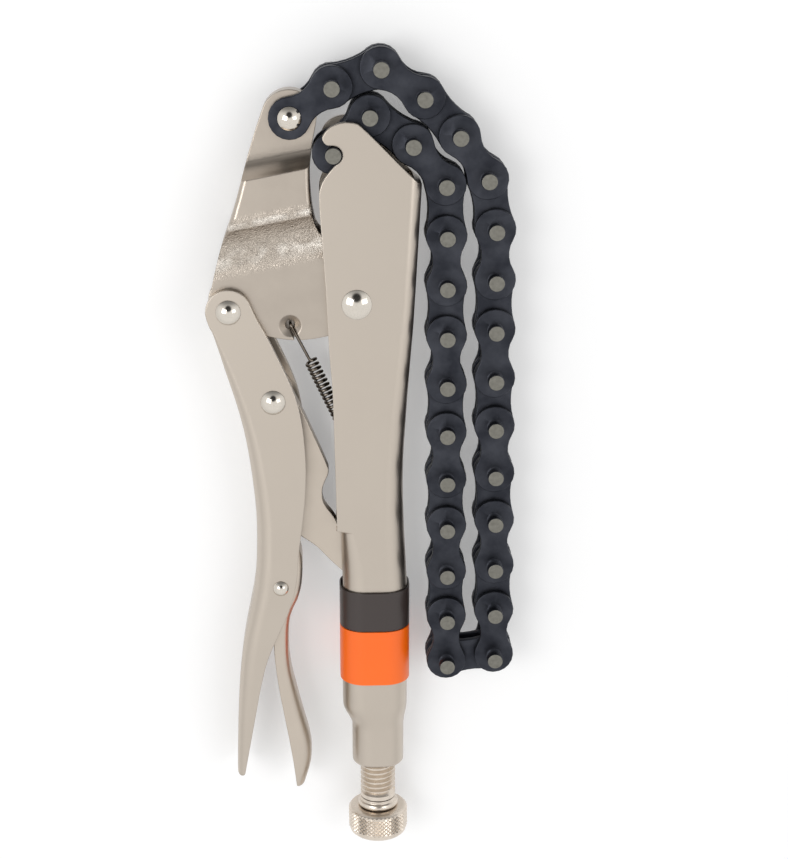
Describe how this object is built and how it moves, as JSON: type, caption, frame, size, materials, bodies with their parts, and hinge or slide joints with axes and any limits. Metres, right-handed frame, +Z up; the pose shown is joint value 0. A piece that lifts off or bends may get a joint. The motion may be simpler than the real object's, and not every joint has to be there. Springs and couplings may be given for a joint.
{
  "type": "locking chain clamp",
  "caption": "Locking clamp that grips with a hinged steel chain, closed by an over-centre toggle lever and set by a screw in its handle.",
  "frame": {"origin": "middle of the footprint, on the surface that the tool lies on", "axes": "+Y from the adjusting knob to the jaw, +X from the lever to the chain, +Z up, square to the flat side that the tool lies on"},
  "size_m": [0.0979, 0.2664, 0.0232],
  "materials": {
    "satin_nickel": "satin nickel plate",
    "forged_nickel": "nickel plate over a forged, coarse surface",
    "bright_steel": "bright domed heads",
    "turned_steel": "turned and plated",
    "blacked_steel": "black oxide, with bright pin ends",
    "spring_steel": "bright drawn wire",
    "black_band": "printed plastic film",
    "orange_band": "printed plastic film"
  },
  "bodies": {
    "handle_body": {"main_handle": "satin_nickel", "pivot_rivet": "bright_steel", "black_band": "black_band", "orange_band": "orange_band", "return_spring": "spring_steel"},
    "jaw_body": {"movable_jaw": "forged_nickel", "chain_rivet": "bright_steel", "lever_rivet": "bright_steel"},
    "lever_body": {"lever": "satin_nickel", "link_rivet": "bright_steel", "trigger_rivet": "bright_steel"},
    "toggle_body": {"toggle_link": "satin_nickel"},
    "trigger_body": {"release_trigger": "satin_nickel"},
    "collar_body": {"screw_collar": "turned_steel"},
    "screw_body": {"adjusting_screw": "turned_steel", "adjusting_knob": "turned_steel"},
    "link_01": {"outer_link_01": "blacked_steel", "inner_link_02": "blacked_steel"},
    "link_03": {"outer_link_03": "blacked_steel", "inner_link_04": "blacked_steel"},
    "link_05": {"outer_link_05": "blacked_steel", "inner_link_06": "blacked_steel"},
    "link_07": {"outer_link_07": "blacked_steel", "inner_link_08": "blacked_steel"},
    "link_09": {"outer_link_09": "blacked_steel", "inner_link_10": "blacked_steel"},
    "link_11": {"outer_link_11": "blacked_steel", "inner_link_12": "blacked_steel"},
    "link_13": {"outer_link_13": "blacked_steel", "inner_link_14": "blacked_steel"},
    "link_15": {"outer_link_15": "blacked_steel"},
    "link_16": {"inner_link_16": "blacked_steel", "outer_link_17": "blacked_steel"},
    "link_18": {"inner_link_18": "blacked_steel", "outer_link_19": "blacked_steel"},
    "link_20": {"inner_link_20": "blacked_steel", "outer_link_21": "blacked_steel"},
    "link_22": {"inner_link_22": "blacked_steel", "outer_link_23": "blacked_steel"},
    "link_24": {"inner_link_24": "blacked_steel", "outer_link_25": "blacked_steel"},
    "link_26": {"inner_link_26": "blacked_steel"},
    "link_27": {"outer_link_27": "blacked_steel"},
    "link_28": {"inner_link_28": "blacked_steel"},
    "link_29": {"outer_link_29": "blacked_steel"}
  },
  "joints": [
    {"name": "jaw_swing", "type": "hinge", "parent": "handle_body", "child": "jaw_body", "pos_m": [-0.00262, 0.05382, 0.0116], "axis": [0, 0, 1], "range_deg": [0, 12], "deforming": ["return_spring"]},
    {"name": "lever_fold", "type": "hinge", "parent": "jaw_body", "child": "lever_body", "pos_m": [-0.04242, 0.05162, 0.0116], "axis": [0, 0, 1], "range_deg": [-47.11, 0]},
    {"name": "toggle_turn", "type": "hinge", "parent": "lever_body", "child": "toggle_body", "pos_m": [-0.02912, 0.02252, 0.0116], "axis": [0, 0, 1], "range_deg": [0, 50.4]},
    {"name": "trigger_press", "type": "hinge", "parent": "lever_body", "child": "trigger_body", "pos_m": [-0.02782, -0.04038, 0.0116], "axis": [0, 0, 1], "range_deg": [-5, 0]},
    {"name": "screw_feed", "type": "slide", "parent": "handle_body", "child": "collar_body", "axis": [0, -1, 0], "range_m": [0, 0.0105]},
    {"name": "screw_turn", "type": "hinge", "parent": "collar_body", "child": "screw_body", "pos_m": [0.00378, -0.13218, 0.0116], "axis": [0, -1, 0], "range_deg": [0, 2160.1]},
    {"name": "chain_pin_01", "type": "hinge", "parent": "jaw_body", "child": "link_01", "pos_m": [-0.02262, 0.11062, 0.0116], "axis": [0, 0, 1], "range_deg": [0, 24.9]},
    {"name": "chain_pin_03", "type": "hinge", "parent": "link_01", "child": "link_03", "pos_m": [0.00508, 0.12553, 0.0116], "axis": [0, 0, 1], "range_deg": [0, 6.7]},
    {"name": "chain_pin_05", "type": "hinge", "parent": "link_03", "child": "link_05", "pos_m": [0.02908, 0.10504, 0.0116], "axis": [0, 0, 1], "range_deg": [0, 1.9]},
    {"name": "chain_pin_07", "type": "hinge", "parent": "link_05", "child": "link_07", "pos_m": [0.04045, 0.0762, 0.0116], "axis": [0, 0, 1], "range_deg": [-9.5, 0]},
    {"name": "chain_pin_09", "type": "hinge", "parent": "link_07", "child": "link_09", "pos_m": [0.04084, 0.04445, 0.0116], "axis": [0, 0, 1], "range_deg": [-3.9, 0]},
    {"name": "chain_pin_11", "type": "hinge", "parent": "link_09", "child": "link_11", "pos_m": [0.04123, 0.0127, 0.0116], "axis": [0, 0, 1], "range_deg": [-4.1, 0]},
    {"name": "chain_pin_13", "type": "hinge", "parent": "link_11", "child": "link_13", "pos_m": [0.04162, -0.01905, 0.0116], "axis": [0, 0, 1], "range_deg": [-4, 0]},
    {"name": "chain_pin_15", "type": "hinge", "parent": "link_13", "child": "link_15", "pos_m": [0.04201, -0.05079, 0.0116], "axis": [0, 0, 1], "range_deg": [-3.4, 0]},
    {"name": "chain_pin_16", "type": "hinge", "parent": "link_15", "child": "link_16", "pos_m": [0.0422, -0.06667, 0.0116], "axis": [0, 0, 1], "range_deg": [0, 19.7]},
    {"name": "chain_pin_18", "type": "hinge", "parent": "link_16", "child": "link_18", "pos_m": [0.02632, -0.05267, 0.0116], "axis": [0, 0, 1], "range_deg": [-5.7, 0]},
    {"name": "chain_pin_20", "type": "hinge", "parent": "link_18", "child": "link_20", "pos_m": [0.02607, -0.02092, 0.0116], "axis": [0, 0, 1], "range_deg": [-2.4, 0]},
    {"name": "chain_pin_22", "type": "hinge", "parent": "link_20", "child": "link_22", "pos_m": [0.02583, 0.01082, 0.0116], "axis": [0, 0, 1], "range_deg": [-2.7, 0]},
    {"name": "chain_pin_24", "type": "hinge", "parent": "link_22", "child": "link_24", "pos_m": [0.02559, 0.04257, 0.0116], "axis": [0, 0, 1], "range_deg": [-2.7, 0]},
    {"name": "chain_pin_26", "type": "hinge", "parent": "link_24", "child": "link_26", "pos_m": [0.02534, 0.07432, 0.0116], "axis": [0, 0, 1], "range_deg": [-1.9, 0]},
    {"name": "chain_pin_27", "type": "hinge", "parent": "link_26", "child": "link_27", "pos_m": [0.02493, 0.09019, 0.0116], "axis": [0, 0, 1], "range_deg": [0, 31.7]},
    {"name": "chain_pin_28", "type": "hinge", "parent": "link_27", "child": "link_28", "pos_m": [0.01482, 0.10243, 0.0116], "axis": [0, 0, 1], "range_deg": [-0.9, 0]},
    {"name": "chain_pin_29", "type": "hinge", "parent": "link_28", "child": "link_29", "pos_m": [0.00165, 0.11129, 0.0116], "axis": [0, 0, 1], "range_deg": [-25.2, 0]}
  ],
  "couplings": [
    {"joint": "lever_fold", "follows": "jaw_swing", "ratio": -3.9257},
    {"joint": "toggle_turn", "follows": "jaw_swing", "ratio": 4.2},
    {"joint": "screw_turn", "follows": "screw_feed", "rad_per_m": 3590.4},
    {"joint": "chain_pin_01", "follows": "jaw_swing", "ratio": 2.075},
    {"joint": "chain_pin_03", "follows": "jaw_swing", "ratio": 0.5583},
    {"joint": "chain_pin_05", "follows": "jaw_swing", "ratio": 0.1583},
    {"joint": "chain_pin_07", "follows": "jaw_swing", "ratio": -0.7917},
    {"joint": "chain_pin_09", "follows": "jaw_swing", "ratio": -0.325},
    {"joint": "chain_pin_11", "follows": "jaw_swing", "ratio": -0.3417},
    {"joint": "chain_pin_13", "follows": "jaw_swing", "ratio": -0.3333},
    {"joint": "chain_pin_15", "follows": "jaw_swing", "ratio": -0.2833},
    {"joint": "chain_pin_16", "follows": "jaw_swing", "ratio": 1.6417},
    {"joint": "chain_pin_18", "follows": "jaw_swing", "ratio": -0.475},
    {"joint": "chain_pin_20", "follows": "jaw_swing", "ratio": -0.2},
    {"joint": "chain_pin_22", "follows": "jaw_swing", "ratio": -0.225},
    {"joint": "chain_pin_24", "follows": "jaw_swing", "ratio": -0.225},
    {"joint": "chain_pin_26", "follows": "jaw_swing", "ratio": -0.1583},
    {"joint": "chain_pin_27", "follows": "jaw_swing", "ratio": 2.6417},
    {"joint": "chain_pin_28", "follows": "jaw_swing", "ratio": -0.075},
    {"joint": "chain_pin_29", "follows": "jaw_swing", "ratio": -2.1}
  ]
}
